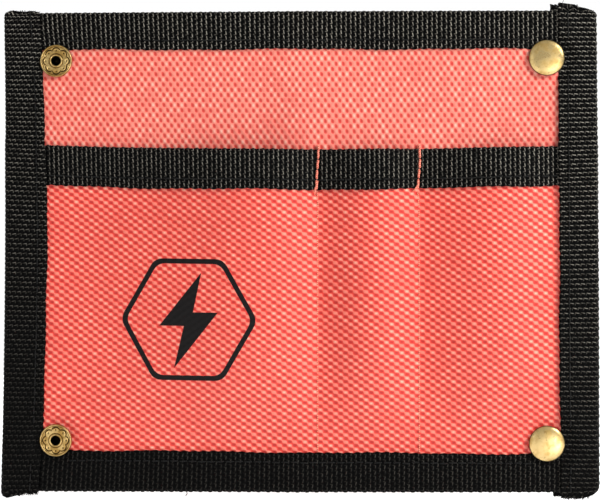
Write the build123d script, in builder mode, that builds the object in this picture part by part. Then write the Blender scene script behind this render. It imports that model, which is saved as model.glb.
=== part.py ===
"""Flat cloth tool pouch with three open pockets, webbing bindings and four press studs.

It hangs upright with its pockets opening upwards and its front towards -Y. X = 0, Y = 0 is the
vertical line that it folds back about, round the strap or rail that it is worn on, and Z = 0 is
midway between its upper and lower press studs. A "depth" is a distance in front of that fold line.
"""
import os
from math import cos, radians

from build123d import *

# ---------------------------------------------------------------- driving dimensions, millimetres
# outline, seen from the front
snap_reach = 86.1            # fold line to both columns of press studs
snap_spacing = 134.0         # upper to lower press stud
left_margin = 18.9           # press studs to the outer edges
right_margin = 16.9
top_margin = 16.9
bottom_margin = 17.1
left_end_top = 1.0           # how far each side binding runs past the top and bottom bindings
left_end_bottom = 1.4
right_end_top = 1.9
right_end_bottom = 1.3
end_corner_radius = 4.0      # rounded outer corners of the side bindings' ends

# webbing bindings: one tape folded over each edge
tape_width = 29.0            # the tape laid flat
webbing = 0.9                # its thickness
left_face = 15.0             # width that shows on the front
right_face = 13.3
top_face = 13.5
bottom_face = 13.7
mouth_face = 14.5

# cloth and pockets
cloth = 0.8                  # coated ballistic weave
mouth_drop = 47.6            # outer edge of the top binding to the pocket mouths
inner_divider = 6.2          # fold line to the seam between the left and middle pockets
outer_divider = 41.4         # fold line to the seam between the middle and right pockets
left_bulge = 7.0             # how far each pocket stands open
middle_bulge = 5.5
right_bulge = 6.0
pocket_taper = 52.0          # degrees by which the pocket walls lean in from straight out
seam_margin = 2.0            # flat cloth beside each seam
pinned_corner = 17.0         # bottom outer corners that the press studs hold flat

# sewing
thread = 0.3                 # how far a stitch stands proud
stitch_width = 0.8
stitch_inset = 3.3           # inner edge of a binding to its stitch line
bar_tack_run = 1.2           # divider thread that shows above the pocket mouths

# folding
fold_clearance = 1.0         # between the backs of the two halves when folded shut
cut_clearance = 0.3          # between the two halves at the fold line

# press studs
squeezed_webbing = 0.3       # webbing left under a press stud
relief_clearance = 0.25      # beside a press stud in the squeezed webbing
sheet_metal = 0.4
cap_radius = 6.25
cap_height = 2.0
cap_profile = (              # shares of its radius and of its height, from the crown to the rim
    (0.30, 0.99),
    (0.55, 0.95),
    (0.78, 0.86),
    (0.93, 0.71),
    (1.00, 0.42),
    (0.985, 0.14),
    (0.93, 0.00),
)
post_radius = 1.95           # outside of the tubes that go through the cloth
post_clearance = 0.05        # between a tube and the metal it goes through
hole_clearance = 0.15        # between a tube and the cloth
eyelet_radius = 5.75
eyelet_hole_radius = 1.6
eyelet_rim_height = 0.8
eyelet_petals = 8
petal_ring_radius = 3.6
petal_radius = 1.5
petal_height = 0.6
dimple_ring_radius = 4.1
dimple_radius = 0.32
dimple_depth = 0.2
hub_radius = 2.4             # rolled edge of the eyelet's hole
hub_height = 0.9
rim_slope = 0.1              # inside of the eyelet's raised rim
rolled_edge = 0.3            # bevel on the eyelet's hub and the width of its rim
rim_edge = 0.2               # bevel on its rim
stud_flange_radius = 5.2
stud_flange = 0.5
stud_neck_radius = 2.45
stud_head_radius = 2.75
stud_head = 0.9              # straight side of the head
stud_edge = 0.2              # bevel above and below it
stud_height = 3.0
drum_margin = 2.0            # stud's head to the outside of the drum that holds the spring
foot_margin = 0.75           # drum to the outside of its foot
socket_lip_clearance = 0.25  # between a stud's head and the socket's mouth
spring_clearance = 0.1       # between a stud's head and the spread spring
spring_wire = 0.3            # radius of the spring's wire
spring_leg = 0.7             # the open side's legs, as a share of the reach to the wire
spring_bend = 0.55           # the bends' radius, as a share of it too
mated_clearance = 0.2        # between a stud's flange and the socket's mouth

# ---------------------------------------------------------------- what follows from them
back_face = fold_clearance / 2               # depths of the layers, back to front
row_back = back_face + webbing
panel_back = row_back + webbing
pocket_back = panel_back + cloth
top_row_front = pocket_back + webbing
pocket_front = pocket_back + cloth
row_front = pocket_front + webbing
upper_side_front = top_row_front + webbing
lower_side_front = row_front + webbing
beyond = 60.0                                # clears everything

left_reach = snap_reach + left_margin        # fold line to the outer edges
right_reach = snap_reach + right_margin
top_reach = snap_spacing / 2 + top_margin    # middle to the outer edges of the rows' bindings
bottom_reach = snap_spacing / 2 + bottom_margin
mouth_top = top_reach - mouth_drop

low_x = webbing - left_reach                 # cloth and rows end inside the folded side bindings
high_x = right_reach - webbing
low_z = webbing - bottom_reach
high_z = top_reach - webbing
left_inner = left_face - left_reach          # inner edges of the bindings
right_inner = right_reach - right_face
top_inner = top_reach - top_face
bottom_inner = bottom_face - bottom_reach
left_back_inner = tape_width - left_face - left_reach
right_back_inner = right_reach - (tape_width - right_face)
top_back_inner = top_reach - (tape_width - top_face)
bottom_back_inner = tape_width - bottom_face - bottom_reach
mouth_bottom = mouth_top - mouth_face
pocket_floor = bottom_inner + seam_margin

back_seat = panel_back - squeezed_webbing    # where the metal clamps at the back
mated_height = 2 * back_seat                 # stud's seat to socket's seat when folded shut
snaps = {                                    # height, and where the metal clamps at the front
    "upper": (snap_spacing / 2, pocket_back + squeezed_webbing),
    "lower": (-snap_spacing / 2, pocket_front + squeezed_webbing),
}
stud_tip = back_seat - stud_height
socket_radius = stud_head_radius + drum_margin
socket_foot_radius = socket_radius + foot_margin
socket_mouth = back_seat - (mated_height - stud_flange - mated_clearance)
socket_mouth_radius = stud_head_radius + socket_lip_clearance
socket_bore = socket_radius - sheet_metal

# each pocket: low and high X of its cavity, its bulge, and the side its pinned corner is on
pockets = (
    (left_inner + seam_margin, inner_divider - seam_margin, left_bulge, "low"),
    (inner_divider + seam_margin, outer_divider - seam_margin, middle_bulge, "none"),
    (outer_divider + seam_margin, right_inner - seam_margin, right_bulge, "high"),
)
halves = {"left": -1, "right": 1}


# ---------------------------------------------------------------- shared shapes
def level(depth):
    """Sketch plane parallel to the panels; its X is X and its Y is up."""
    return Plane.XZ.offset(depth)


def slab(x0, x1, z0, z1, near, far, mode=Mode.ADD):
    """A flat layer from one depth to another."""
    with BuildSketch(level(near)) as outline:
        with Locations(((x0 + x1) / 2, (z0 + z1) / 2)):
            Rectangle(x1 - x0, z1 - z0)
    extrude(outline.sketch, amount=far - near, mode=mode)


def disc(x, z, radius, near, far, mode=Mode.ADD):
    """A round layer about a press stud's axis."""
    with BuildSketch(level(near)) as outline:
        with Locations((x, z)):
            Circle(radius)
    extrude(outline.sketch, amount=far - near, mode=mode)


def swelling(pocket, grow, mode=Mode.ADD):
    """The space a pocket bulges into, grown from its cavity and left open past its mouth."""
    x0, x1, bulge, pinned = pocket
    corners = [(x1, mouth_top + beyond), (x0, mouth_top + beyond)]
    if pinned == "low":
        corners += [(x0, pocket_floor + pinned_corner), (x0 + pinned_corner, pocket_floor)]
    else:
        corners.append((x0, pocket_floor))
    if pinned == "high":
        corners += [(x1 - pinned_corner, pocket_floor), (x1, pocket_floor + pinned_corner)]
    else:
        corners.append((x1, pocket_floor))
    with BuildSketch(level(pocket_back)) as outline:
        with BuildLine():
            Polyline(*corners, close=True)
        make_face()
        if grow:
            offset(amount=grow / cos(radians(pocket_taper)), kind=Kind.INTERSECTION, mode=Mode.REPLACE)
    extrude(outline.sketch, amount=bulge + grow, taper=pocket_taper, mode=mode)


def pocket_skin(inner, outer, x0, x1, z0, z1):
    """A layer that follows the pockets, between two distances from their cavities."""
    top = mouth_top + beyond
    slab(low_x, high_x, low_z, top, pocket_back, pocket_back + outer)
    for pocket in pockets:
        swelling(pocket, outer)
    for pocket in pockets:
        swelling(pocket, inner, Mode.SUBTRACT)
    if inner > 0:
        slab(low_x, high_x, low_z, top, pocket_back, pocket_back + inner, Mode.SUBTRACT)
    slab(x0, x1, z0, z1, pocket_back, pocket_back + beyond, Mode.INTERSECT)


def keep_half(side):
    """Cut away the other half of the pouch at the fold line."""
    if side == "left":
        split(bisect_by=Plane.YZ.offset(-cut_clearance / 2), keep=Keep.BOTTOM)
    else:
        split(bisect_by=Plane.YZ.offset(cut_clearance / 2), keep=Keep.TOP)


def post_holes():
    """Punch the cloth for the press studs' tubes."""
    for sign in halves.values():
        for z, front_seat in snaps.values():
            disc(sign * snap_reach, z, post_radius + hole_clearance, 0, front_seat, Mode.SUBTRACT)


def press_stud_reliefs():
    """Squeeze the webbing flat under every press stud, and punch it for the tubes."""
    post_holes()
    for sign, front_radius, back_radius in (
        (halves["left"], eyelet_radius, stud_flange_radius),
        (halves["right"], cap_radius, socket_foot_radius),
    ):
        for z, front_seat in snaps.values():
            x = sign * snap_reach
            disc(x, z, front_radius + relief_clearance, front_seat, beyond, Mode.SUBTRACT)
            disc(x, z, back_radius + relief_clearance, back_seat, -beyond, Mode.SUBTRACT)


def turned(profile, x, z):
    """Revolve a profile of radius and depth about a press stud's axis."""
    section_plane = Plane(origin=(x, 0, z), x_dir=(1, 0, 0), z_dir=(0, 0, -1))
    with BuildSketch(section_plane) as section:
        with BuildLine():
            Polyline(*profile, close=True)
        make_face()
    revolve(section.sketch, axis=Axis((x, 0, z), (0, -1, 0)))


def finish(piece, name):
    """Name a finished piece and write it."""
    piece.part.label = name
    export_step(piece.part, f"parts/{name}.step")


def finish_halves(whole, name):
    """Part a piece at the fold line and write its two halves."""
    for side in halves:
        with BuildPart() as half:
            add(whole.part)
            keep_half(side)
        finish(half, f"{name}_{side}")


os.makedirs("parts", exist_ok=True)

# ---------------------------------------------------------------- cloth
with BuildPart() as back_panel:
    slab(low_x, high_x, low_z, high_z, panel_back, pocket_back)
    post_holes()
finish_halves(back_panel, "back_panel")

with BuildPart() as pocket_panel:
    pocket_skin(0, cloth, low_x, high_x, low_z, mouth_top - webbing)
    post_holes()
finish_halves(pocket_panel, "pocket_panel")

# ---------------------------------------------------------------- bindings along the rows
with BuildPart() as mouth_binding:
    pocket_skin(-webbing, cloth + webbing, low_x, high_x, mouth_bottom, mouth_top)
    add(pocket_panel.part, mode=Mode.SUBTRACT)
finish_halves(mouth_binding, "mouth_binding")

with BuildPart() as top_binding:
    slab(low_x, high_x, top_inner, top_reach, pocket_back, top_row_front)
    slab(low_x, high_x, top_back_inner, top_reach, row_back, panel_back)
    slab(low_x, high_x, high_z, top_reach, row_back, top_row_front)
    press_stud_reliefs()
finish_halves(top_binding, "top_binding")

with BuildPart() as bottom_binding:
    slab(low_x, high_x, -bottom_reach, bottom_inner, pocket_front, row_front)
    slab(low_x, high_x, -bottom_reach, bottom_back_inner, row_back, panel_back)
    slab(low_x, high_x, -bottom_reach, low_z, row_back, row_front)
    press_stud_reliefs()
finish_halves(bottom_binding, "bottom_binding")


# ---------------------------------------------------------------- bindings up the sides
def rounded_strip(outer, inner, z0, z1, near, far):
    """A layer of a side binding, with its two outer corners rounded."""
    with BuildSketch(level(near)) as outline:
        with Locations(((outer + inner) / 2, (z0 + z1) / 2)):
            Rectangle(abs(outer - inner), z1 - z0)
        by_x = outline.vertices().sort_by(Axis.X)
        fillet(by_x[:2] if outer < inner else by_x[-2:], end_corner_radius)
    extrude(outline.sketch, amount=far - near)


side_bindings = {
    "left": (-left_reach, left_face, left_end_bottom, left_end_top),
    "right": (right_reach, right_face, right_end_bottom, right_end_top),
}
for side, (outer_x, face, end_bottom, end_top) in side_bindings.items():
    inward = -halves[side]
    front_x = outer_x + inward * face
    back_x = outer_x + inward * (tape_width - face)
    end_z0 = -bottom_reach - end_bottom
    end_z1 = top_reach + end_top
    with BuildPart() as side_binding:
        rounded_strip(outer_x, front_x, end_z0, end_z1, panel_back, upper_side_front)
        rounded_strip(outer_x, front_x, end_z0, mouth_top, panel_back, lower_side_front)
        rounded_strip(outer_x, back_x, end_z0, end_z1, back_face, panel_back)
        for wrapped in (back_panel, pocket_panel, mouth_binding, top_binding, bottom_binding):
            add(wrapped.part, mode=Mode.SUBTRACT)
        press_stud_reliefs()
    finish(side_binding, f"{side}_binding")

    seam_x = front_x - inward * stitch_inset
    x0 = seam_x - stitch_width / 2
    x1 = seam_x + stitch_width / 2
    with BuildPart() as side_stitching:
        slab(x0, x1, end_z0, mouth_top, lower_side_front, lower_side_front + thread)
        slab(x0, x1, mouth_top, end_z1, upper_side_front, upper_side_front + thread)
        slab(x0, x1, end_z0, end_z1, back_face - thread, back_face)
        press_stud_reliefs()
    finish(side_stitching, f"{side}_stitching")


# ---------------------------------------------------------------- sewing along the rows
def row_seam(seam_z, front):
    """Thread on the front and on the back of a binding."""
    z0 = seam_z - stitch_width / 2
    z1 = seam_z + stitch_width / 2
    slab(left_inner, right_inner, z0, z1, front, front + thread)
    slab(left_back_inner, right_back_inner, z0, z1, row_back - thread, row_back)
    press_stud_reliefs()


with BuildPart() as top_stitching:
    row_seam(top_inner + stitch_inset, top_row_front)
finish_halves(top_stitching, "top_stitching")

with BuildPart() as bottom_stitching:
    row_seam(bottom_inner - stitch_inset, row_front)
finish_halves(bottom_stitching, "bottom_stitching")

def divider_sides(seam_x):
    """Low and high X of the thread along a divider."""
    return seam_x - stitch_width / 2, seam_x + stitch_width / 2


for name, seam_x in (("inner_divider", inner_divider), ("outer_divider", outer_divider)):
    x0, x1 = divider_sides(seam_x)
    tack_z = mouth_top + bar_tack_run
    with BuildPart() as divider_stitching:
        slab(x0, x1, bottom_inner, mouth_bottom, pocket_front, pocket_front + thread)
        slab(x0, x1, mouth_bottom - thread, mouth_top + thread, pocket_front, row_front + thread)
        slab(x0, x1, mouth_top, mouth_top + thread, pocket_back, row_front + thread)
        slab(x0, x1, mouth_top, tack_z, pocket_back, pocket_back + thread)
        slab(x0, x1, mouth_bottom, mouth_top, pocket_back, row_front, Mode.SUBTRACT)
        slab(x0, x1, bottom_back_inner, tack_z, panel_back - thread, panel_back)
    finish(divider_stitching, f"{name}_stitching")

with BuildPart() as mouth_stitching:
    strip_front = cloth + webbing
    seam_z0 = mouth_bottom + stitch_inset
    seam_z1 = seam_z0 + stitch_width
    pocket_skin(strip_front, strip_front + thread, left_inner, right_inner, seam_z0, seam_z1)
    for seam_x in (inner_divider, outer_divider):
        slab(*divider_sides(seam_x), seam_z0, seam_z1, pocket_back, beyond, Mode.SUBTRACT)
finish_halves(mouth_stitching, "mouth_stitching")

# ---------------------------------------------------------------- press studs
for row, (z, front_seat) in snaps.items():
    # right column: a domed cap riveted through the cloth to a sprung socket
    x = halves["right"] * snap_reach
    cap_bore = cap_radius - 3 * sheet_metal
    cap_top = front_seat + cap_height
    with BuildPart() as cap:
        dome = [(cap_radius * r, front_seat + cap_height * h) for r, h in cap_profile]
        inside = [
            (cap_bore, front_seat),
            (cap_bore, cap_top - 2 * sheet_metal),
            (dome[0][0], cap_top - sheet_metal),
            (0, cap_top - sheet_metal),
        ]
        turned([(0, cap_top)] + dome + inside, x, z)
    finish(cap, f"{row}_cap")

    with BuildPart() as cap_post:
        head_radius = cap_bore - sheet_metal
        flare_radius = post_radius + 2 * sheet_metal
        tube_bore = post_radius - sheet_metal
        turned(
            [
                (tube_bore, front_seat + sheet_metal),
                (head_radius, front_seat + sheet_metal),
                (head_radius, front_seat),
                (post_radius, front_seat),
                (post_radius, back_seat - sheet_metal),
                (flare_radius, back_seat - sheet_metal),
                (flare_radius, back_seat - 2 * sheet_metal),
                (tube_bore, back_seat - 2 * sheet_metal),
            ],
            x,
            z,
        )
    finish(cap_post, f"{row}_cap_post")

    with BuildPart() as socket_base:
        disc(x, z, socket_foot_radius, back_seat - sheet_metal, back_seat)
        disc(x, z, post_radius + post_clearance, 0, front_seat, Mode.SUBTRACT)
    finish(socket_base, f"{row}_socket_base")

    with BuildPart() as socket_drum:
        turned(
            [
                (socket_bore, back_seat - sheet_metal),
                (socket_foot_radius, back_seat - sheet_metal),
                (socket_foot_radius, back_seat - 2 * sheet_metal),
                (socket_radius, back_seat - 2 * sheet_metal),
                (socket_radius, socket_mouth),
                (socket_mouth_radius, socket_mouth),
                (socket_mouth_radius, socket_mouth + sheet_metal),
                (socket_bore, socket_mouth + sheet_metal),
            ],
            x,
            z,
        )
    finish(socket_drum, f"{row}_socket_drum")

    with BuildPart() as socket_spring:
        wire_depth = socket_mouth + sheet_metal + spring_clearance + spring_wire
        wire_x = stud_head_radius + spring_clearance + spring_wire
        with BuildLine(Plane(origin=(x, -wire_depth, z), x_dir=(1, 0, 0), z_dir=(0, -1, 0))) as route:
            FilletPolyline(
                (-wire_x, -wire_x * spring_leg),
                (-wire_x, wire_x),
                (wire_x, wire_x),
                (wire_x, -wire_x * spring_leg),
                radius=wire_x * spring_bend,
            )
        with BuildSketch(Plane(origin=route.line @ 0, z_dir=route.line % 0)):
            Circle(spring_wire)
        sweep(path=route.line)
    finish(socket_spring, f"{row}_socket_spring")

    # left column: an open eyelet riveted through the cloth to a stud
    x = halves["left"] * snap_reach
    head_bottom = stud_tip + stud_edge + stud_head
    roll_radius = stud_head_radius - sheet_metal
    with BuildPart() as stud:
        turned(
            [
                (post_radius + post_clearance, back_seat),
                (stud_flange_radius, back_seat),
                (stud_flange_radius, back_seat - stud_flange),
                (stud_neck_radius, back_seat - stud_flange),
                (stud_neck_radius, head_bottom + stud_edge),
                (stud_head_radius, head_bottom),
                (stud_head_radius, stud_tip + stud_edge),
                (stud_head_radius - stud_edge, stud_tip),
                (0, stud_tip),
                (0, stud_tip + sheet_metal),
                (roll_radius, stud_tip + sheet_metal),
                (roll_radius, head_bottom),
                (post_radius + post_clearance, head_bottom),
            ],
            x,
            z,
        )
    finish(stud, f"{row}_stud")

    with BuildPart() as eyelet:
        hub_top = front_seat + hub_height
        rim_top = front_seat + eyelet_rim_height
        rim_inside = eyelet_radius - rim_edge - rolled_edge
        turned(
            [
                (eyelet_hole_radius, hub_top - rolled_edge),
                (eyelet_hole_radius + rolled_edge, hub_top),
                (hub_radius - rolled_edge, hub_top),
                (hub_radius, hub_top - rolled_edge),
                (hub_radius, front_seat + sheet_metal),
                (rim_inside - rim_slope, front_seat + sheet_metal),
                (rim_inside, rim_top),
                (eyelet_radius - rim_edge, rim_top),
                (eyelet_radius, rim_top - rim_edge),
                (eyelet_radius, front_seat),
                (post_radius, front_seat),
                (post_radius, head_bottom),
                (roll_radius - post_clearance, head_bottom),
                (roll_radius - post_clearance, head_bottom - sheet_metal),
                (eyelet_hole_radius, head_bottom - sheet_metal),
            ],
            x,
            z,
        )
        with BuildSketch(Plane(origin=(x, -front_seat, z), z_dir=(0, -1, 0))):
            with PolarLocations(petal_ring_radius, eyelet_petals):
                Circle(petal_radius)
            Circle(hub_radius, mode=Mode.SUBTRACT)
        extrude(amount=petal_height)
        with BuildSketch(Plane(origin=(x, -front_seat - petal_height, z), z_dir=(0, -1, 0))):
            with PolarLocations(dimple_ring_radius, eyelet_petals):
                Circle(dimple_radius)
        extrude(amount=-dimple_depth, mode=Mode.SUBTRACT)
    finish(eyelet, f"{row}_eyelet")
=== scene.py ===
"""A flat cloth tool pouch with webbing bindings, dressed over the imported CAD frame.

Lengths in the making are millimetres, as in the CAD: x to the right, z up, and depth in front of
the fold line, towards -Y. place() turns them into the frame's metres.
"""
from math import cos, pi, radians, sin

import bmesh
import bpy
import numpy as np
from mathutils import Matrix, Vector


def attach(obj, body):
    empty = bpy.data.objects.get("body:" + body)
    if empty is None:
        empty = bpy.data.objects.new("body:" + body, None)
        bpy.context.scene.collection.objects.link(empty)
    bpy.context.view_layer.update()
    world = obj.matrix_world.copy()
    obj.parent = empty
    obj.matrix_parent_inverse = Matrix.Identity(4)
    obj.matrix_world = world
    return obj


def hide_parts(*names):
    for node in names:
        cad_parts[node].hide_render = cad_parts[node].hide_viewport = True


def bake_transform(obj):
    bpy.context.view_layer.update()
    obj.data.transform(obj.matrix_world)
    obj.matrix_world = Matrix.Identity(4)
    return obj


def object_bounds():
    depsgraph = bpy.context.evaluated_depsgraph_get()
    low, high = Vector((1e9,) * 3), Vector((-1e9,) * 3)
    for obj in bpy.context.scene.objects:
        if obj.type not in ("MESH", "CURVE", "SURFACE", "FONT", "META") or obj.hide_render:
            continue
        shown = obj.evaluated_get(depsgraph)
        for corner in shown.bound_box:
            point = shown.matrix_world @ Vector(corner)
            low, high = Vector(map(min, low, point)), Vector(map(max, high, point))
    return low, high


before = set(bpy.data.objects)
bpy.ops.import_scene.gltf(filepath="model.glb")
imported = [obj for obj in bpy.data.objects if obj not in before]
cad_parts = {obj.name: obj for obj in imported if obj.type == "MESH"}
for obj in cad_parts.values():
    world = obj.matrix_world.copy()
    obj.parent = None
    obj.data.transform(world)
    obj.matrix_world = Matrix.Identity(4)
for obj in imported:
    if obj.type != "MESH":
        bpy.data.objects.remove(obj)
cad_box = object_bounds()
rng = np.random.default_rng(11)
MM = 0.001

# ---------------------------------------------------------------- sizes, as in the CAD
LEFT, RIGHT, TOP, BOTTOM = -105.0, 103.0, 83.9, -84.1
TAPE, WEBBING, CLOTH = 29.0, 0.9, 0.8
FACE = {"left": 15.0, "right": 13.3, "top": 13.5, "bottom": 13.7, "mouth": 14.5}
MOUTH = 36.3
DIVIDERS = (6.2, 41.4)
SNAP_X, SNAP_Z = 86.1, 67.0
BACK, ROW_BACK, PANEL_BACK, POCKET_BACK, POCKET_FRONT = 0.5, 1.4, 2.3, 3.1, 3.9
TOP_FRONT, ROW_FRONT, SIDE_FRONT = 4.0, 4.8, 4.9
MIDDLE = 2.7
LOW_X, HIGH_X = LEFT + WEBBING, RIGHT - WEBBING
LOW_Z, HIGH_Z = BOTTOM + WEBBING, TOP - WEBBING
LEFT_IN, RIGHT_IN = LEFT + FACE["left"], RIGHT - FACE["right"]
TOP_IN, BOTTOM_IN, MOUTH_IN = TOP - FACE["top"], BOTTOM + FACE["bottom"], MOUTH - FACE["mouth"]
FLOOR = BOTTOM_IN + 2.0
SEAM_INSET = 3.3                # inner edge of a binding to its stitch line
HOLE = 2.1                      # radius of the cloth's holes for the press studs
SEAT = {"upper": 3.4, "lower": 4.2}             # depths that the caps and eyelets sit at
CLAMPED = {"upper": 3.35, "lower": 4.15}        # depths of the layers pressed under them
CLAMPED_BACK = 0.3              # share of their thickness that the back layers keep there
CAP_CLAMP, EYELET_CLAMP, BACK_CLAMP = 6.4, 5.9, 5.7     # how far out each presses them flat
CAP_RADIUS, EYELET_RADIUS, POST_RADIUS, EYE_RADIUS = 6.25, 5.75, 1.95, 1.6
PETALS = 8

# pockets: low and high x, how far they stand open, and how far over the crown leans
POCKETS = (
    (LEFT_IN + 2.0, DIVIDERS[0], 6.6, 2.3),
    (DIVIDERS[0], DIVIDERS[1], 5.2, 1.25),
    (DIVIDERS[1], RIGHT_IN - 2.0, 5.8, 1.35),
)


def ramp(value, low, high):
    t = np.clip((value - low) / (high - low), 0, 1)
    return t * t * (3 - 2 * t)


def bulge(x, z):
    """How far a pocket's front stands off the flat at x, z."""
    out = np.zeros(np.broadcast(x, z).shape)
    v = (z - FLOOR) / (MOUTH - FLOOR)
    rise = np.sin(pi / 2 * np.clip(v / 0.42, 0, 1)) ** 1.1 * (1 - 0.14 * ramp(v, 0.5, 1.0))
    for low, high, crown, lean in POCKETS:
        u = np.clip((x - low) / (high - low), 0, 1)
        out = out + crown * np.sin(pi * u**lean) * rise
    for sign in (-1, 1):
        r = np.hypot(x - sign * SNAP_X, z + SNAP_Z)
        out = out * ramp(r, 8.5, 27.0)
    return out


def ripple(x, z):
    """Slow unevenness of the whole pouch, nothing at the press studs."""
    crease = 0.55 * np.exp(-(((x + 1.0) / 9.0) ** 2))
    roll = 0.35 * np.sin(x / 23.0 + 0.6) * np.cos(z / 60.0)
    calm = 1.0
    for sx in (-1, 1):
        for sz in (-1, 1):
            calm = calm * ramp(np.hypot(x - sx * SNAP_X, z - sz * SNAP_Z), 7.0, 24.0)
    return (crease + roll) * calm


def squeeze(x, z, d):
    """The layers are pressed flat where the press studs clamp them."""
    for sx in (-1, 1):
        for sz in (-1, 1):
            r = np.hypot(x - sx * SNAP_X, z - sz * SNAP_Z)
            reach = CAP_CLAMP if sx > 0 else EYELET_CLAMP
            full = SIDE_FRONT if sz > 0 else SIDE_FRONT + CLOTH
            clamped = CLAMPED["upper"] if sz > 0 else CLAMPED["lower"]
            keep = (clamped - MIDDLE) / (full - MIDDLE)
            front = keep + (1 - keep) * ramp(r, reach, reach + 4.5)
            back = CLAMPED_BACK + (1 - CLAMPED_BACK) * ramp(r, BACK_CLAMP, 9.5)
            d = MIDDLE + (d - MIDDLE) * np.where(d > MIDDLE, front, back)
    return d


def between(levels, curves, value):
    """Curves stacked last, one for each level, read off between the levels."""
    held = np.clip(value, levels[0], levels[-1])
    i = np.clip(np.searchsorted(levels, held) - 1, 0, len(levels) - 2)
    f = (held - levels[i]) / (levels[i + 1] - levels[i])
    low = np.take_along_axis(curves, i[..., None], -1)[..., 0]
    high = np.take_along_axis(curves, i[..., None] + 1, -1)[..., 0]
    return low * (1 - f) + high * f


def drift(x, z):
    """The sewn outline isn't true: small shifts in x and z."""
    u, v = x / 100.0, z / 84.0
    rows = np.array([BOTTOM, BOTTOM_IN, MOUTH_IN, MOUTH, TOP_IN, TOP])
    dz = np.stack(
        [
            -0.6 + 0.65 * u + 0.15 * u * u,
            -0.2 - 0.15 * u + 0.1 * u * u,
            -0.6 - 0.2 * u + 2.0 * u * u,
            -0.95 - 0.55 * u + 1.7 * u * u,
            0.1 - 0.45 * u,
            0.0 - 0.35 * u - 0.2 * u * u,
        ],
        axis=-1,
    )
    sides = np.array([LEFT, LEFT_IN, 0.0, RIGHT_IN, RIGHT])
    dx = np.stack(
        [
            0.65 + 0.5 * v - 0.9 * v * v,
            0.95 - 3.2 * v * v,
            0.2 + 0 * v,
            0.65 - 0.4 * v,
            1.05 - 0.5 * v - 0.25 * v * v,
        ],
        axis=-1,
    )
    return between(sides, dx, x), between(rows, dz, z)


def place(x, z, d):
    """Points of the frame, in metres, from x, z and depth in millimetres."""
    x, z, d = np.broadcast_arrays(
        np.asarray(x, float), np.asarray(z, float), np.asarray(d, float)
    )
    depth = squeeze(x, z, d) + ripple(x, z)
    dx, dz = drift(x, z)
    return np.stack([x + dx, -depth, z + dz], -1) * MM


# ---------------------------------------------------------------- meshes
def make_mesh(name, verts, faces, corner_uvs, material):
    """A mesh object with its weave map, in centimetres, and its bake map."""
    me = bpy.data.meshes.new(name)
    me.from_pydata(verts.tolist(), [], faces)
    for layer, values in corner_uvs.items():
        uv = me.uv_layers.new(name=layer)
        uv.data.foreach_set("uv", np.asarray(values, np.float32).ravel())
    bm = bmesh.new()
    bm.from_mesh(me)
    bmesh.ops.recalc_face_normals(bm, faces=bm.faces)
    bm.to_mesh(me)
    bm.free()
    me.polygons.foreach_set("use_smooth", [True] * len(me.polygons))
    me.materials.append(material)
    ob = bpy.data.objects.new(name, me)
    bpy.context.scene.collection.objects.link(ob)
    return ob


def spread(points):
    """Shares from 0 to 1 of the way along a run of points."""
    steps = np.linalg.norm(np.diff(points, axis=0), axis=1)
    total = np.concatenate([[0], np.cumsum(steps)])
    return total / total[-1]


def punched(points):
    """Points moved out of the press studs' holes, and which of them were inside."""
    inside = np.zeros(points.shape[:-1], bool)
    for sx in (-1, 1):
        for sz in (-1, 1):
            offset = points[..., ::2] - np.array([sx * SNAP_X, sz * SNAP_Z]) * MM
            r = np.linalg.norm(offset, axis=-1)
            hit = r < HOLE * MM
            push = np.where(hit, HOLE * MM / np.maximum(r, 1e-9), 1.0)
            points[..., ::2] += offset * (push - 1)[..., None]
            inside |= hit
    return inside


def closed_strip(name, points, st, material):
    """A closed skin: points[i, j] runs along i and goes round in j. st has one more j."""
    m, n = points.shape[:2]
    inside = punched(points)
    i, j = np.meshgrid(np.arange(m - 1), np.arange(n), indexing="ij")
    k = (j + 1) % n
    quads = np.stack([i * n + j, i * n + k, (i + 1) * n + k, (i + 1) * n + j], -1).reshape(-1, 4)
    hole = inside[:-1] & np.roll(inside[:-1], -1, 1) & np.roll(inside[1:], -1, 1) & inside[1:]
    solid = ~hole.ravel()
    quads = quads[solid]
    ends = [list(range(n))[::-1], list(range((m - 1) * n, m * n))]
    around = spread(np.concatenate([points[m // 2], points[m // 2][:1]]))
    along = spread(points[:, n // 4])
    u, v = np.meshgrid(around, along, indexing="xy")
    bake = np.stack([0.01 + 0.98 * u, 0.01 + 0.98 * v], -1)

    def corners(grid):
        per_quad = np.stack(
            [grid[:-1, :-1], grid[:-1, 1:], grid[1:, 1:], grid[1:, :-1]], -2
        ).reshape(-1, 4, 2)[solid].reshape(-1, 2)
        return np.concatenate([per_quad, grid[0, :-1][::-1], grid[-1, :-1]])

    maps = {"Weave": corners(st / 10.0), "OFBake": corners(bake)}
    return make_mesh(name, points.reshape(-1, 3), quads.tolist() + ends, maps, material)


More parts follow.
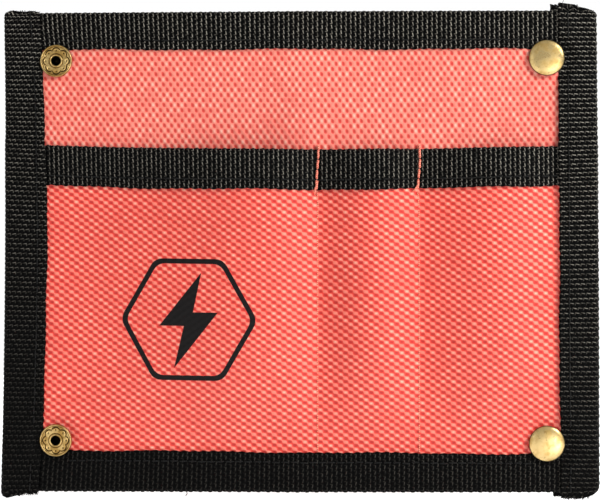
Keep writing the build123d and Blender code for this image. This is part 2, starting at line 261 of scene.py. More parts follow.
def tubes(name, paths, radius, material, sides=7, flat=1.0):
    """Round threads along paths of points in metres, thinner at their tips."""
    verts, faces, weave, bake = [], [], [], []
    reach = max(float(np.linalg.norm(np.diff(p, axis=0), axis=1).sum()) for p in paths)
    start = 0
    for number, path in enumerate(paths):
        r = radius[number] if np.ndim(radius) else radius
        tangent = np.gradient(path, axis=0)
        tangent /= np.linalg.norm(tangent, axis=1)[:, None]
        up = np.array([0.0, -1.0, 0.0])
        side = np.cross(tangent, up)
        side[np.linalg.norm(side, axis=1) < 1e-3] = [1.0, 0.0, 0.0]
        side /= np.linalg.norm(side, axis=1)[:, None]
        lift = np.cross(side, tangent)
        length = np.concatenate([[0], np.cumsum(np.linalg.norm(np.diff(path, axis=0), axis=1))])
        ends = np.minimum(length, length[-1] - length) / (r * 1.2)
        girth = r * np.sqrt(np.clip(ends, 0.06, 1))
        angle = np.arange(sides) * 2 * pi / sides
        ring = (
            path[:, None]
            + girth[:, None, None]
            * (
                np.cos(angle)[None, :, None] * side[:, None]
                + flat * np.sin(angle)[None, :, None] * lift[:, None]
            )
        )
        m = len(path)
        verts.append(ring.reshape(-1, 3))

        def map_corner(row, j):
            weave.append((j / sides * 2 * pi * r / MM / 10, length[row] / MM / 10))
            strip = (number + 0.05 + 0.9 * j / sides) / len(paths)
            bake.append((strip, 0.01 + 0.98 * length[row] / reach))

        for i in range(m - 1):
            for j in range(sides):
                k = (j + 1) % sides
                faces.append(
                    [start + i * sides + j, start + i * sides + k]
                    + [start + (i + 1) * sides + k, start + (i + 1) * sides + j]
                )
                for row, side_j in ((i, j), (i, j + 1), (i + 1, j + 1), (i + 1, j)):
                    map_corner(row, side_j)
        for row in (0, m - 1):
            order = range(sides) if row else range(sides - 1, -1, -1)
            faces.append([start + row * sides + j for j in order])
            for j in order:
                map_corner(row, j)
        start += m * sides
    maps = {"Weave": np.array(weave), "OFBake": np.array(bake)}
    return make_mesh(name, np.concatenate(verts), faces, maps, material)


# ---------------------------------------------------------------- node helpers
class Graph:
    """A material's nodes, with sums written as calls."""

    def __init__(self, name):
        self.material = bpy.data.materials.new(name)
        self.material.use_nodes = True
        self.tree = self.material.node_tree
        self.shader = self.tree.nodes["Principled BSDF"]

    def put(self, target, value):
        if isinstance(value, bpy.types.NodeSocket):
            self.tree.links.new(value, target)
        elif value is not None:
            target.default_value = value

    def math(self, operation, a, b=None, c=None, clamp=False):
        node = self.tree.nodes.new("ShaderNodeMath")
        node.operation = operation
        node.use_clamp = clamp
        for socket, value in zip(node.inputs, (a, b, c)):
            self.put(socket, value)
        return node.outputs[0]

    def step(self, value, low, high, start=0.0, end=1.0):
        node = self.tree.nodes.new("ShaderNodeMapRange")
        node.interpolation_type = "SMOOTHSTEP"
        for socket, given in zip(node.inputs, (value, low, high, start, end)):
            self.put(socket, given)
        return node.outputs[0]

    def mix(self, share, a, b):
        node = self.tree.nodes.new("ShaderNodeMix")
        node.data_type = "RGBA"
        self.put(node.inputs[0], share)
        self.put(node.inputs[6], a)
        self.put(node.inputs[7], b)
        return node.outputs[2]

    def weave(self):
        """The weave map's two coordinates, in centimetres."""
        node = self.tree.nodes.new("ShaderNodeUVMap")
        node.uv_map = "Weave"
        split = self.tree.nodes.new("ShaderNodeSeparateXYZ")
        self.tree.links.new(node.outputs[0], split.inputs[0])
        return split.outputs[0], split.outputs[1]

    def vector(self, x, y, z=0.0):
        node = self.tree.nodes.new("ShaderNodeCombineXYZ")
        for socket, value in zip(node.inputs, (x, y, z)):
            self.put(socket, value)
        return node.outputs[0]

    def noise(self, vector, scale, detail=2.0):
        node = self.tree.nodes.new("ShaderNodeTexNoise")
        node.inputs["Scale"].default_value = scale
        node.inputs["Detail"].default_value = detail
        self.put(node.inputs["Vector"], vector)
        return node.outputs[0]

    def at(self):
        """Where a point is on the object, in metres."""
        return self.tree.nodes.new("ShaderNodeTexCoord").outputs["Object"]

    def bump(self, height, strength, distance):
        node = self.tree.nodes.new("ShaderNodeBump")
        node.inputs["Strength"].default_value = strength
        node.inputs["Distance"].default_value = distance
        self.put(node.inputs["Height"], height)
        self.tree.links.new(node.outputs[0], self.shader.inputs["Normal"])

    def set(self, **values):
        for key, value in values.items():
            self.put(self.shader.inputs[key.replace("_", " ")], value)
        return self.material


def rgb(r, g, b):
    """Linear colour of an sRGB one."""
    linear = [((c / 255 + 0.055) / 1.055) ** 2.4 if c > 10 else c / 255 / 12.92 for c in (r, g, b)]
    return (*linear, 1.0)


# pitches in centimetres: the cloth's floats along and across, the webbing's ribs and rows
FLOAT_ALONG, FLOAT_ACROSS = 0.354, 0.252
RIB, ROW = 0.333, 0.0925
SLANT = -0.16                   # how far the cloth's floats lean


def cloth_material(name, float_sheen_colour, gap_colour, shade_and_mottle_colour, shine_colour, along_v, cover):
    """Coated ballistic weave. Its floats run along v, or else along u. The floats are painted paler than
    the gaps as sheen, with a painted highlight on their crowns and painted shade in the hollows between
    them.
    """
    g = Graph(name)
    u, v = g.weave()
    if along_v:
        u, v = v, u
    turn_u = g.math("MULTIPLY", u, 2 * pi / FLOAT_ALONG)
    turn_v = g.math("MULTIPLY", v, 2 * pi / FLOAT_ACROSS)
    square = g.math("MULTIPLY", g.math("COSINE", turn_u), g.math("COSINE", turn_v))
    slant = g.math("MULTIPLY", g.math("SINE", turn_u), g.math("SINE", turn_v))
    checks = g.math("ADD", square, g.math("MULTIPLY", slant, SLANT))
    cell_u = g.math("ROUND", g.math("MULTIPLY", u, 2 / FLOAT_ALONG))
    cell_v = g.math("ROUND", g.math("MULTIPLY", v, 2 / FLOAT_ACROSS))
    white = g.tree.nodes.new("ShaderNodeTexWhiteNoise")
    white.noise_dimensions = "2D"
    g.put(white.inputs["Vector"], g.vector(cell_u, cell_v))
    fibre = g.noise(g.vector(g.math("MULTIPLY", u, 0.25), v), 150.0, 3.0)
    patch = g.noise(g.vector(u, v), 0.35, 2.0)
    float_mask = g.step(checks, cover + 0.06, cover + 0.3)
    float_mask = g.math("MULTIPLY", float_mask, g.step(white.outputs[0], -0.3, 0.7, 0.75, 1.0))
    # painted shade in the hollows between the floats
    hollow_shade_mask = g.step(checks, cover - 0.1, cover - 0.7)
    # painted sheen: the floats are painted paler than the gaps, which keep the cloth's own red
    colour = g.mix(float_mask, gap_colour, float_sheen_colour)
    # painted highlight: a near-white streak on the crowns of the floats, stronger on some floats than
    # others
    lustre = g.step(white.outputs[0], 0.2, 1.0, 0.1, 0.8)
    shine = g.math("MULTIPLY", g.step(checks, cover + 0.55, 1.05), lustre)
    colour = g.mix(shine, colour, shine_colour)
    # painted shade: the hollows darkened towards the dark red
    colour = g.mix(g.math("MULTIPLY", hollow_shade_mask, 0.75), colour, shade_and_mottle_colour)
    # random darker mottle along the fibres and in broad patches, the cloth's own tone, mixed towards the
    # same dark red
    mottle = g.math("ADD", g.math("MULTIPLY", fibre, 0.6), g.math("MULTIPLY", patch, 0.4))
    darker_tone = g.step(mottle, 0.3, 0.7, 0.0, 0.3)
    colour = g.mix(darker_tone, colour, shade_and_mottle_colour)
    height = g.math("ADD", g.math("MULTIPLY", checks, 0.35), g.math("MULTIPLY", fibre, 0.35))
    g.bump(height, 0.8, 0.00025)
    rough = g.step(fibre, 0.3, 0.7, 0.38, 0.55)
    return g.set(
        Base_Color=colour, Roughness=rough, Specular_IOR_Level=0.45, Sheen_Weight=0.15, Sheen_Roughness=0.4
    )


def webbing_material(name, dark, light, streak):
    """Heavy woven tape: ribs across it, whose floats catch the light along one side, painted into the
    colour as pale strokes that fade towards the bottom and left.
    """
    g = Graph(name)
    s, t = g.weave()
    ribs_along = g.math("DIVIDE", t, RIB / 2)
    column = g.math("FLOOR", ribs_along)
    c = g.math("SUBTRACT", g.math("MULTIPLY", g.math("FRACT", ribs_along), 2.0), 1.0)
    odd = g.math("MULTIPLY", g.math("FLOORED_MODULO", column, 2.0), 0.5)
    along_float = g.math("FRACT", g.math("ADD", g.math("DIVIDE", s, 2 * ROW), g.math("ADD", odd, 0.5)))
    e = g.math("SUBTRACT", g.math("MULTIPLY", along_float, 2.0), 1.0)
    fibre = g.noise(g.vector(g.math("MULTIPLY", s, 0.4), t), 130.0, 2.0)
    patch = g.noise(g.vector(s, t), 5.0, 3.0)
    wobble = g.math("MULTIPLY", g.math("SUBTRACT", patch, 0.5), 0.5)
    # painted highlights: a pale stroke along the lit side of each float, and a tick at its tip
    line = g.math("ADD", g.math("SUBTRACT", c, 0.42), g.math("ADD", g.math("MULTIPLY", e, 0.22), wobble))
    tips = g.step(g.math("ABSOLUTE", e), 0.9, 0.5)
    stroke = g.math("MULTIPLY", g.step(g.math("ABSOLUTE", line), 0.22, 0.06), tips)
    top = g.step(g.math("ABSOLUTE", g.math("ADD", e, 0.78)), 0.2, 0.06)
    tick = g.math("MULTIPLY", top, g.step(g.math("ABSOLUTE", c), 0.5, 0.3))
    lit = g.math("MAXIMUM", stroke, g.math("MULTIPLY", tick, 0.5))
    lit = g.math("MULTIPLY", lit, g.step(patch, 0.3, 0.65, 0.15, 1.0))
    split = g.tree.nodes.new("ShaderNodeSeparateXYZ")
    g.put(split.inputs[0], g.at())
    # painted light falloff: the highlight strokes grow weaker towards the bottom and left of the pouch
    painted_light_falloff = g.math("ADD", split.outputs[2], g.math("MULTIPLY", split.outputs[0], 0.25))
    lit = g.math("MULTIPLY", lit, g.step(painted_light_falloff, -0.1, 0.1, 0.12, 1.2))
    colour = g.mix(g.math("MULTIPLY", g.step(fibre, 0.45, 0.8), 0.5), dark, streak)
    colour = g.mix(lit, colour, light)
    crown = g.math("SUBTRACT", 1.0, g.math("MULTIPLY", c, c))
    body = g.math("MULTIPLY", crown, g.step(g.math("ABSOLUTE", e), 1.0, 0.3, 0.3, 1.0))
    g.bump(g.math("ADD", body, g.math("MULTIPLY", fibre, 0.3)), 0.6, 0.0003)
    rough = g.step(fibre, 0.3, 0.7, 0.42, 0.62)
    return g.set(Base_Color=colour, Roughness=rough, Specular_IOR_Level=0.03)


def thread_material(name, colour, darker_tone, rough):
    """Twisted sewing thread."""
    g = Graph(name)
    s, t = g.weave()
    ply = g.math("SINE", g.math("ADD", g.math("MULTIPLY", t, 2 * pi / 0.07), g.math("MULTIPLY", s, 40.0)))
    fuzz = g.noise(g.vector(s, t), 60.0, 3.0)
    # painted shade: the grooves between the plies are darker
    mixed = g.mix(g.step(ply, -0.9, 0.4, 1.0, 0.0), colour, darker_tone)
    g.bump(g.math("ADD", g.math("MULTIPLY", ply, 0.5), g.math("MULTIPLY", fuzz, 0.4)), 0.5, 0.0001)
    rough = g.step(fuzz, 0.3, 0.7, rough - 0.08, rough + 0.1)
    return g.set(Base_Color=mixed, Roughness=rough, Specular_IOR_Level=0.2)


def metal_material(name, bright, worn, dirt, rough, dark_hollows=False):
    """Aged plating: brushed, with dark patches, and darker still in its hollows."""
    g = Graph(name)
    at = g.at()
    brush = g.noise(at, 900.0, 4.0)
    blotch = g.noise(at, 330.0, 4.0)
    fine = g.noise(at, 3500.0, 2.0)
    colour = g.mix(g.step(blotch, 0.42, 0.66), bright, worn)
    colour = g.mix(g.step(brush, 0.56, 0.8, 0.0, 0.65), colour, dirt)
    if dark_hollows:
        hollow = g.weave()[0]       # turned_skin() writes how deep a point lies into this map
        # darker where turned_skin() marks a hollow: painted shade in the eyelet's hole, which comes out
        # near black, and a darker tone in its grooves and dimples and on the cap's rim where it turns down
        # to the cloth
        colour = g.mix(g.step(hollow, 0.15, 0.85), colour, rgb(20, 14, 7))
    g.bump(g.math("ADD", g.math("MULTIPLY", brush, 0.5), g.math("MULTIPLY", fine, 0.5)), 0.25, 0.0001)
    return g.set(
        Base_Color=colour, Metallic=1.0, Roughness=g.step(blotch, 0.3, 0.75, rough, rough + 0.22)
    )


# The upright weave gets more and paler floats than the level one: painted sheen, which the cloth catches
# more in that direction.
cloth_back = cloth_material(
    "coral_weave_upright",
    rgb(250, 142, 123), rgb(228, 70, 58), rgb(160, 28, 22), rgb(255, 204, 182),
    along_v=True, cover=-0.45,
)
cloth_pocket = cloth_material(
    "coral_weave_level",
    rgb(250, 134, 114), rgb(230, 60, 48), rgb(172, 28, 22), rgb(255, 200, 174),
    along_v=False, cover=-0.1,
)
webbing = webbing_material("black_webbing", rgb(5, 5, 5), rgb(142, 137, 127), rgb(20, 19, 18))
black_thread = thread_material("black_sewing_thread", rgb(14, 14, 13), rgb(5, 5, 5), 0.6)
coral_thread = thread_material("coral_sewing_thread", rgb(240, 150, 126), rgb(196, 84, 70), 0.5)
fray_thread = thread_material("frayed_yarn", rgb(40, 38, 36), rgb(14, 14, 14), 0.6)
brass = metal_material(
    "antique_brass", rgb(222, 200, 152), rgb(186, 158, 104), rgb(112, 88, 48), 0.3
)
cap_brass = metal_material(
    "brushed_brass", rgb(220, 192, 132), rgb(196, 164, 100), rgb(140, 108, 56), 0.26, dark_hollows=True
)
rosette_brass = metal_material(
    "patinated_brass", rgb(206, 176, 116), rgb(160, 128, 70), rgb(84, 60, 28), 0.3, dark_hollows=True
)
steel = metal_material("spring_steel", rgb(190, 190, 186), rgb(150, 150, 146), rgb(90, 88, 84), 0.25)


def ink_material():
    g = Graph("print_ink")
    s, t = g.weave()
    grain = g.noise(g.vector(s, t), 40.0, 3.0)
    colour = g.mix(g.step(grain, 0.35, 0.7), rgb(8, 8, 8), rgb(24, 20, 20))
    g.bump(grain, 0.3, 0.0001)
    rough = g.step(grain, 0.3, 0.7, 0.5, 0.7)
    return g.set(Base_Color=colour, Roughness=rough, Specular_IOR_Level=0.15)


ink = ink_material()


# ---------------------------------------------------------------- cloth
def floats(along, across):
    """Height of the cloth's weave."""
    a, b = 2 * pi * along / (FLOAT_ALONG * 10), 2 * pi * across / (FLOAT_ACROSS * 10)
    return 0.14 * (np.cos(a) * np.cos(b) + SLANT * np.sin(a) * np.sin(b))


def stops(low, high, step):
    return np.linspace(low, high, max(2, int(round((high - low) / step)) + 1))


def cloth_piece(name, columns, back_rows, front_rows, depth_back, depth_front, relief, material):
    """A panel: up its back, over its top edge, down its front and round its bottom edge."""
    z = np.concatenate([back_rows, front_rows[::-1]])
    is_front = np.concatenate([np.zeros(len(back_rows), bool), np.ones(len(front_rows), bool)])
    x = columns[:, None]
    rest = np.where(is_front, depth_front(x, z[None]), depth_back(x, z[None]))
    out = relief(x, z[None], is_front[None])
    d = rest + np.where(is_front, out, -out)
    points = place(np.broadcast_to(x, d.shape), np.broadcast_to(z, d.shape), d)
    st = np.stack(np.broadcast_arrays(x, z[None]), -1)
    st = np.concatenate([st, st[:, :1]], 1)
    return closed_strip(name, points, st, material)


def in_sight(x):
    """1 between the side bindings, and 0 where they cover the cloth."""
    return np.where((x > LEFT_IN - 1) & (x < RIGHT_IN + 1), 1.0, 0.0)


HOLE_ROWS = 4.0                 # how far above and below a hole the rows are fine


def round_holes(low, high, step, fine):
    """Coarse rows, fine ones where the lower press studs go through."""
    a, b = -SNAP_Z - HOLE_ROWS, -SNAP_Z + HOLE_ROWS
    return np.concatenate([stops(low, a, step)[:-1], stops(a, b, fine)[:-1], stops(b, high, step)])


COVERED = 28.0                  # below this the pocket panel hides the back panel's front
back_panel = cloth_piece(
    "back_panel_cloth",
    stops(LOW_X, HIGH_X, 0.63),
    stops(LOW_Z, HIGH_Z, 0.885),
    np.concatenate([round_holes(LOW_Z, COVERED, 5.0, 0.885)[:-1], stops(COVERED, HIGH_Z, 0.885)]),
    lambda x, z: PANEL_BACK + 0 * x * z,
    lambda x, z: POCKET_BACK + 0 * x * z,
    lambda x, z, front: np.where(front & (z < COVERED + 2), 0.0, floats(z, x)) * in_sight(x),
    cloth_back,
)
pocket_panel = cloth_piece(
    "pocket_panel_cloth",
    stops(LOW_X, HIGH_X, 0.59),
    round_holes(LOW_Z, MOUTH - WEBBING, 3.2, 0.8),
    np.concatenate(
        [
            stops(LOW_Z, -SNAP_Z - HOLE_ROWS, 2.5)[:-1],
            stops(-SNAP_Z - HOLE_ROWS, BOTTOM_IN, 0.8)[:-1],
            stops(BOTTOM_IN, MOUTH_IN, 0.42),
            [MOUTH_IN + 5, MOUTH - WEBBING],
        ]
    ),
    lambda x, z: POCKET_BACK + 0.02 + bulge(x, z),
    lambda x, z: POCKET_FRONT + bulge(x, z),
    lambda x, z, front: np.where(front & (z < MOUTH_IN + 1), floats(x, z), 0.0) * in_sight(x),
    cloth_pocket,
)


# ---------------------------------------------------------------- webbing
def tape_section(face, front, back):
    """The folded tape's section, closed: distance across the tape, inwards distance u, depth,
    outward normal, whether it is the outer face, and 1 on the front leg to 0 on the back leg."""
    radius = (front - back) / 2
    middle = (front + back) / 2
    half = WEBBING / 2
    inner_radius = max(radius - WEBBING, 0.15)
    back_leg = TAPE - face - half
    face = face - half
    leg1, arc, leg2 = face - radius, pi * radius, back_leg - radius
    total = leg1 + arc + leg2
    section = []

    def put(s, u, d, nu, nd, outer, share):
        section.append((s, u, d, nu, nd, outer, share))

    for s in stops(0, total, ROW * 10 / 3):
        if s <= leg1:
            put(s, face - s, front, 0, 1, 1, 1)
        elif s <= leg1 + arc:
            a = (s - leg1) / radius
            u, d = radius - radius * sin(a), middle + radius * cos(a)
            put(s, u, d, -sin(a), cos(a), 1, (1 + cos(a)) / 2)
        else:
            put(s, radius + s - leg1 - arc, back, 0, -1, 1, 0)
    for angle in (45, 90, 135):
        a = radians(angle)
        put(total + 0.3, back_leg + half * sin(a), back + half - half * cos(a), sin(a), -cos(a), 0.5, 0)
    for u in stops(radius, back_leg, 3.0)[::-1]:
        put(total + 1.0 + back_leg - u, u, back + WEBBING, 0, 1, 0, 0)
    for angle in (135, 90, 45):
        a = radians(angle)
        u, d = radius - inner_radius * sin(a), middle + inner_radius * cos(a)
        put(total + back_leg, u, d, sin(a), -cos(a), 0, (1 + cos(a)) / 2)
    for u in stops(radius, face, 3.0):
        put(total + back_leg + u, u, front - WEBBING, 0, -1, 0, 1)
    for angle in (135, 90, 45):
        a = radians(angle)
        put(-0.3, face + half * sin(a), front - half + half * cos(a), sin(a), cos(a), 0.5, 1)
    return np.array(section, float).T.copy()


def ribs(s, t):
    """Height of the tape's face: ribs across it, each a row of floats half a float on."""
    column = np.floor(t / (RIB * 5))
    c = 2 * (t / (RIB * 5) - column) - 1
    crown = np.sqrt(np.clip(1 - 0.9 * c**2, 0, 1))
    wave = np.cos(2 * pi * s / (ROW * 20) + column * pi + 0.3 * c)
    return crown * (0.14 + 0.16 * wave) - 0.12


def tape_piece(name, face, front, back, low, high, to_xz, lift, ragged=0.0, corner=0.0, shape=None):
    """A tape folded over an edge, from low to high along it. At its ends, ragged is how uneven
    the cut is, corner the outer corner's radius, and shape how far each end runs on."""
    s, u, d, nu, nd, outer, frontness = tape_section(face, front, back)
    t = stops(low, high, RIB * 10 / 8)[:, None]
    selvedge = 0.14 * np.cos(2 * pi * t / (RIB * 10)) * (outer[None] == 0.5)
    height = np.where(outer[None] == 1, ribs(s[None], t), 0.0) + selvedge
    # the selvedges wander a little
    wander = 0.18 * np.sin(t / 11.0 + 1.3 * face) + 0.12 * np.sin(t / 4.3 + face)
    uu = u[None] + height * nu[None] + wander * (u[None] / face) ** 2
    dd = d[None] + height * nd[None]
    tt = np.broadcast_to(t, uu.shape).copy()
    if corner:
        for end, sign in ((low, 1), (high, -1)):
            near = np.clip(corner - sign * (t - end), 0, corner)
            tuck = corner - np.sqrt(corner**2 - near**2)
            uu = uu + tuck * np.clip(1 - uu / face, 0, 1)
    if shape:
        at_low, at_high = shape(np.abs(uu))
        tt = tt - at_low * ramp(t, low + 4.0, low) + at_high * ramp(t, high - 4.0, high)
    if ragged:
        yarn = np.floor(s / (ROW * 10)).astype(int)
        for end, sign in ((low, -1), (high, 1)):
            jitter = rng.normal(0, ragged, yarn.max() - yarn.min() + 1)[yarn - yarn.min()]
            slope = ragged * (0.9 * np.sin(s / 5.0 + end) + 0.9 * np.sin(s / 1.7 + 2 * end))
            share = ramp(sign * (t - end), -2.5, 0.0)
            tt = tt + (jitter + slope)[None] * share
            dd = dd + rng.normal(0, ragged * 0.5, len(s))[None] * ramp(sign * (t - end), -0.9, 0.0)
    x, z = to_xz(uu, tt)
    dd = dd + lift(x, z, frontness[None])
    points = place(x, z, dd)
    s_row = np.concatenate([s, [s[-1] + 0.5]])
    st = np.stack(np.broadcast_arrays(s_row[None], t), -1)
    return closed_strip(name, points, st, webbing)


def no_lift(x, z, frontness):
    return 0.0


def mouth_lift(x, z, frontness):
    out = bulge(x, z)
    return out + (1 - frontness) * WEBBING * (1 - np.clip(out / 1.2, 0, 1))


def side_lift(x, z, frontness):
    """The side bindings climb over the pocket cloth and over the rows' bindings."""
    over_mouth = ramp(z, MOUTH + 3.5, MOUTH - 0.5) * (1 - ramp(z, MOUTH_IN, MOUTH_IN - 4.0))
    over_bottom = ramp(z, BOTTOM_IN + 4.0, BOTTOM_IN)
    pockets = ramp(z, MOUTH + 3.5, MOUTH - 0.5) * CLOTH
    bare = ramp(z, TOP_IN, TOP_IN - 4.0) * ramp(z, MOUTH, MOUTH + 4.0)
    plain = 1 - np.clip(over_mouth + over_bottom, 0, 1)
    below = ramp(z, MOUTH, MOUTH - 3.0)
    return frontness * (pockets - 0.55 * WEBBING * np.clip(plain * below + bare, 0, 1))


top_tape = tape_piece(
    "top_binding_tape", FACE["top"], TOP_FRONT, ROW_BACK, LOW_X, HIGH_X,
    lambda u, t: (t, TOP - u), no_lift,
)
bottom_tape = tape_piece(
    "bottom_binding_tape", FACE["bottom"], ROW_FRONT, ROW_BACK, LOW_X, HIGH_X,
    lambda u, t: (t, BOTTOM + u), no_lift,
)
mouth_tape = tape_piece(
    "mouth_binding_tape", FACE["mouth"], ROW_FRONT, POCKET_BACK - WEBBING, LOW_X, HIGH_X,
    lambda u, t: (t, MOUTH - u), mouth_lift,
)


def left_ends(u):
    """How far each end runs on: the outer corner's tip hangs lower than the rest."""
    return 1.3 * (1 - ramp(u, 3.1, 3.5)) - 0.7, -0.75 + 0 * u


def right_ends(u):
    """The top end is ragged, in two humps, and lower at the outer corner."""
    crest = 0.2 - 1.4 * (1 - ramp(u, 6.0, 8.0)) - 1.3 * np.exp(-(((u - 9.8) / 0.8) ** 2))
    return ramp(u, 2.0, 9.0) - 0.7, crest


LEFT_ENDS, RIGHT_ENDS = (1.4, 1.0), (1.3, 1.9)      # how far they pass the rows, below and above
left_tape = tape_piece(
    "left_binding_tape", FACE["left"], SIDE_FRONT, BACK, BOTTOM - LEFT_ENDS[0], TOP + LEFT_ENDS[1],
    lambda u, t: (LEFT + u, t), side_lift, 0.28, 1.8, left_ends,
)
right_tape = tape_piece(
    "right_binding_tape", FACE["right"], SIDE_FRONT, BACK, BOTTOM - RIGHT_ENDS[0], TOP + RIGHT_ENDS[1],
    lambda u, t: (RIGHT - u, t), side_lift, 0.38, 3.4, right_ends,
)


# ---------------------------------------------------------------- sewing
THREAD, STITCH = 0.27, 3.2      # the thread's radius and the stitches' pitch
PROUD, WANDER = 0.14, 0.06      # how far a stitch stands up, and strays from its line


def stitch_row(start, end, surface, horizontal, line, gaps=()):
    """Stitches from start to end, each dipping into the surface at its tips."""
    paths = []
    count = max(1, int(round((end - start) / STITCH)))
    for k in range(count):
        a = start + (end - start) * k / count
        b = start + (end - start) * (k + 1) / count
        if any(low < (a + b) / 2 < high for low, high in gaps):
            continue
        t = np.linspace(a + 0.12, b - 0.12, 7)
        off = line + rng.normal(0, WANDER) + np.linspace(0, rng.normal(0, WANDER), 7)
        share = np.linspace(-1, 1, 7)
        lift = PROUD * (1 - share**6) - 0.3 * share**6
        x, z = (t, off + 0 * t) if horizontal else (off + 0 * t, t)
        paths.append(place(x, z, surface(x, z, lift)))
    return paths


def under_snaps(reach):
    """Stretches of a seam that the press studs cover."""
    return [(centre - 7.0, centre + 7.0) for centre in (-reach, reach)]


def front_at(level):
    return lambda x, z, lift: level + lift


def back_at(level):
    return lambda x, z, lift: level - lift


def on_mouth(x, z, lift):
    return ROW_FRONT + bulge(x, z) + lift


def on_side(x, z, lift):
    return SIDE_FRONT + side_lift(x, z, 1.0) + lift


def stitches(name, paths):
    return tubes(f"{name}_binding_stitches", paths, THREAD * MM, black_thread)


row_stitches = {}
for name, level, line in (
    ("top", TOP_FRONT, TOP_IN + SEAM_INSET),
    ("bottom", ROW_FRONT, BOTTOM_IN - SEAM_INSET),
):
    row_stitches[name] = stitches(
        name,
        stitch_row(LEFT_IN, RIGHT_IN, front_at(level), True, line, under_snaps(SNAP_X))
        + stitch_row(LEFT_IN, RIGHT_IN, back_at(ROW_BACK), True, line, under_snaps(SNAP_X)),
    )
row_stitches["mouth"] = stitches("mouth", stitch_row(LEFT_IN, RIGHT_IN, on_mouth, True, MOUTH_IN + 3.6))
side_stitches = {}
for side, line in (("left", LEFT_IN - SEAM_INSET), ("right", RIGHT_IN + SEAM_INSET)):
    side_stitches[side] = stitches(
        side,
        stitch_row(BOTTOM, TOP, on_side, False, line, under_snaps(SNAP_Z))
        + stitch_row(BOTTOM, TOP, back_at(BACK), False, line, under_snaps(SNAP_Z)),
    )


def divider_threads(name, x_at, loose):
    """Coral thread down a divider: long stitches over the mouth binding, small ones below and on
    the back, and a loose end, a list of x, z and height over the binding."""
    paths, radii = [], []

    def add(path, radius):
        paths.append(path)
        radii.append(radius * MM)

    def run(marks, level, proud, radius):
        for a, b in zip(marks, marks[1:]):
            z = np.linspace(a - 0.1, b + 0.1, 9)
            share = np.linspace(-1, 1, 9)
            x = x_at(z) + 0.06 * np.sin(z * 3)
            lift = proud * (1 - share**8) - 0.25 * share**8
            add(place(x, z, level(x, z) + lift), radius)

    def on_back(x, z):
        return POCKET_BACK + 0.4 + 0 * x

    def on_binding(x, z):
        return ROW_FRONT + 0.1 + bulge(x, z)

    def on_pocket(x, z):
        return POCKET_FRONT + bulge(x, z)

    run(np.linspace(MOUTH + 1.6, MOUTH - 0.4, 2), on_back, 0.3, 0.42)
    run(np.linspace(MOUTH + 0.1, MOUTH_IN, 5), on_binding, 0.35, 0.42)
    run(np.linspace(MOUTH_IN, BOTTOM_IN, 28), on_pocket, 0.1, 0.22)
    marks = np.linspace(MOUTH + 1.0, BOTTOM_IN, 34)
    for a, b in zip(marks, marks[1:]):
        z = np.linspace(a - 0.1, b + 0.1, 7)
        share = np.linspace(-1, 1, 7)
        lift = 0.25 * (1 - share**6) - 0.25 * share**6
        add(place(x_at(z), z, PANEL_BACK - lift), 0.3)
    x, z, lift = np.array(loose, float).T
    add(place(x, z, ROW_FRONT + bulge(x, z) + lift), 0.3)
    return tubes(name, paths, radii, coral_thread)


inner_threads = divider_threads(
    "inner_divider_threads",
    lambda z: DIVIDERS[0] + 0.3 * np.sin((z - 30) / 3.6) * ramp(z, 10, 22),
    [(6.5, 25.0, 0.4), (6.1, 23.6, 0.6), (5.5, 22.4, 0.5), (5.2, 21.0, 0.2), (5.4, 19.6, -0.2)],
)
outer_threads = divider_threads(
    "outer_divider_threads",
    lambda z: DIVIDERS[1] + 0.35 * np.sin((z - 27) / 3.9) * ramp(z, 10, 22),
    [(41.6, 24.6, 0.4), (41.2, 23.4, 0.7), (40.6, 22.4, 0.8), (39.9, 21.4, 0.6), (39.2, 20.8, 0.3)],
)


# ---------------------------------------------------------------- loose yarn
def eased(knots, steps):
    """A smooth run through a few knots."""
    knots = np.array(knots, float)
    t = np.linspace(0, len(knots) - 1, steps)
    i = np.clip(t.astype(int), 0, len(knots) - 2)
    f = (t - i)[:, None]
    a, b = knots[i], knots[i + 1]
    before, after = knots[np.clip(i - 1, 0, None)], knots[np.clip(i + 2, None, len(knots) - 1)]
    m0, m1 = (b - before) / 2, (after - a) / 2
    return (
        (2 * f**3 - 3 * f**2 + 1) * a + (f**3 - 2 * f**2 + f) * m0
        + (3 * f**2 - 2 * f**3) * b + (f**3 - f**2) * m1
    )


def stray(knots, steps=14):
    """A yarn through knots of x, z and depth."""
    return place(*eased(knots, steps).T)


def fray(x0, x1, z, up, depths, count, length):
    """Short yarns that stand out of a cut end, upwards or downwards."""
    paths = []
    for _ in range(count):
        x = rng.uniform(x0, x1)
        d = rng.choice(depths) + rng.normal(0, 0.15)
        reach = length * rng.uniform(0.35, 1.0)
        lean = rng.normal(0, 0.6)
        bend = rng.normal(0, 0.4)
        root = (x, z - up * 1.2, d)
        middle = (x + 0.3 * lean, z + up * 0.3 * reach, d + rng.normal(0, 0.15))
        tip = (x + lean + bend, z + up * reach, d + rng.normal(0, 0.4))
        paths.append(stray([root, middle, tip], 8))
    return paths


